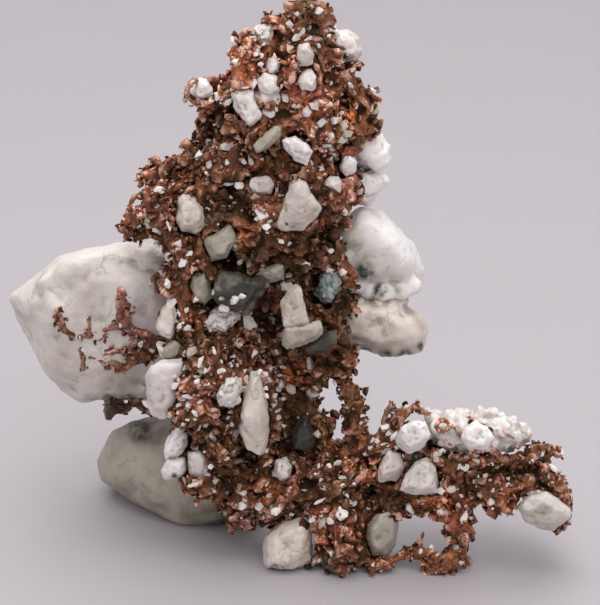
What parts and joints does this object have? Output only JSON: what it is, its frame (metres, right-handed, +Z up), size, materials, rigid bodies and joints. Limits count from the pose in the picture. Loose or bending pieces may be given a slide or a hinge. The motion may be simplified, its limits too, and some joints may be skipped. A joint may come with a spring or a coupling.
{
  "type": "native copper nugget",
  "caption": "Free-standing native copper specimen: hackly branching copper with a tall tower and a side arm, grown round grains and lumps of pale calcite and grey-green stone.",
  "frame": {"origin": "centre of the specimen's footprint box, on the floor it stands on", "axes": "+Z up through the tower, the arm reaches out along +X, the face with the set stones looks along -Y"},
  "size_m": [0.0696, 0.0338, 0.0703],
  "materials": {
    "copper_tower": "satin",
    "copper_wing": "satin",
    "copper_column": "satin",
    "copper_strands": "satin",
    "copper_foot": "satin",
    "copper_arm": "satin",
    "copper_fringe": "satin",
    "left_boulder": "matte",
    "base_boulder": "matte",
    "right_upper_stone": "matte",
    "right_lower_stone": "matte",
    "tower_back_stone": "matte",
    "tower_low_back_stone": "matte",
    "peak_back_stone": "matte",
    "foot_block": "matte",
    "hanging_stone": "matte",
    "knob_pebble": "matte",
    "cavity_wedge": "matte",
    "tall_beige_stone": "matte",
    "ledge_stone": "matte",
    "flat_grey_stone": "matte",
    "long_beige_stone": "matte",
    "dark_stone": "matte",
    "arm_pearl": "matte",
    "arm_dome": "matte",
    "arm_crest_stone": "matte",
    "arm_tip_stone": "matte",
    "shoulder_chip": "matte",
    "peak_pebble": "matte",
    "upper_pebble": "matte",
    "middle_pebble": "matte",
    "ridge_pebble": "matte",
    "cream_stone": "matte",
    "grey_sliver": "matte",
    "petal_stone": "matte",
    "shield_stone": "matte",
    "wing_block": "matte",
    "right_pearl": "matte",
    "striped_chip": "matte",
    "throat_stone": "matte",
    "cavity_left_stone": "matte",
    "cavity_shelf": "matte",
    "crusty_stone": "matte",
    "collar_stone": "matte",
    "verdigris_stone": "matte",
    "left_slab": "matte",
    "centre_chip": "matte",
    "lower_left_chip": "matte",
    "corner_chip": "matte",
    "lower_left_block": "matte",
    "neck_chip": "matte",
    "trunk_pebble": "matte",
    "arm_pebble": "matte",
    "arm_cleft_stone": "matte"
  },
  "bodies": {
    "root": {"copper_tower": "copper_tower", "copper_wing": "copper_wing", "copper_column": "copper_column", "copper_strands": "copper_strands", "copper_foot": "copper_foot", "copper_arm": "copper_arm", "copper_fringe": "copper_fringe", "left_boulder": "left_boulder", "base_boulder": "base_boulder", "right_upper_stone": "right_upper_stone", "right_lower_stone": "right_lower_stone", "tower_back_stone": "tower_back_stone", "tower_low_back_stone": "tower_low_back_stone", "peak_back_stone": "peak_back_stone", "foot_block": "foot_block", "hanging_stone": "hanging_stone", "knob_pebble": "knob_pebble", "cavity_wedge": "cavity_wedge", "tall_beige_stone": "tall_beige_stone", "ledge_stone": "ledge_stone", "flat_grey_stone": "flat_grey_stone", "long_beige_stone": "long_beige_stone", "dark_stone": "dark_stone", "arm_pearl": "arm_pearl", "arm_dome": "arm_dome", "arm_crest_stone": "arm_crest_stone", "arm_tip_stone": "arm_tip_stone", "shoulder_chip": "shoulder_chip", "peak_pebble": "peak_pebble", "upper_pebble": "upper_pebble", "middle_pebble": "middle_pebble", "ridge_pebble": "ridge_pebble", "cream_stone": "cream_stone", "grey_sliver": "grey_sliver", "petal_stone": "petal_stone", "shield_stone": "shield_stone", "wing_block": "wing_block", "right_pearl": "right_pearl", "striped_chip": "striped_chip", "throat_stone": "throat_stone", "cavity_left_stone": "cavity_left_stone", "cavity_shelf": "cavity_shelf", "crusty_stone": "crusty_stone", "collar_stone": "collar_stone", "verdigris_stone": "verdigris_stone", "left_slab": "left_slab", "centre_chip": "centre_chip", "lower_left_chip": "lower_left_chip", "corner_chip": "corner_chip", "lower_left_block": "lower_left_block", "neck_chip": "neck_chip", "trunk_pebble": "trunk_pebble", "arm_pebble": "arm_pebble", "arm_cleft_stone": "arm_cleft_stone"}
  },
  "joints": []
}
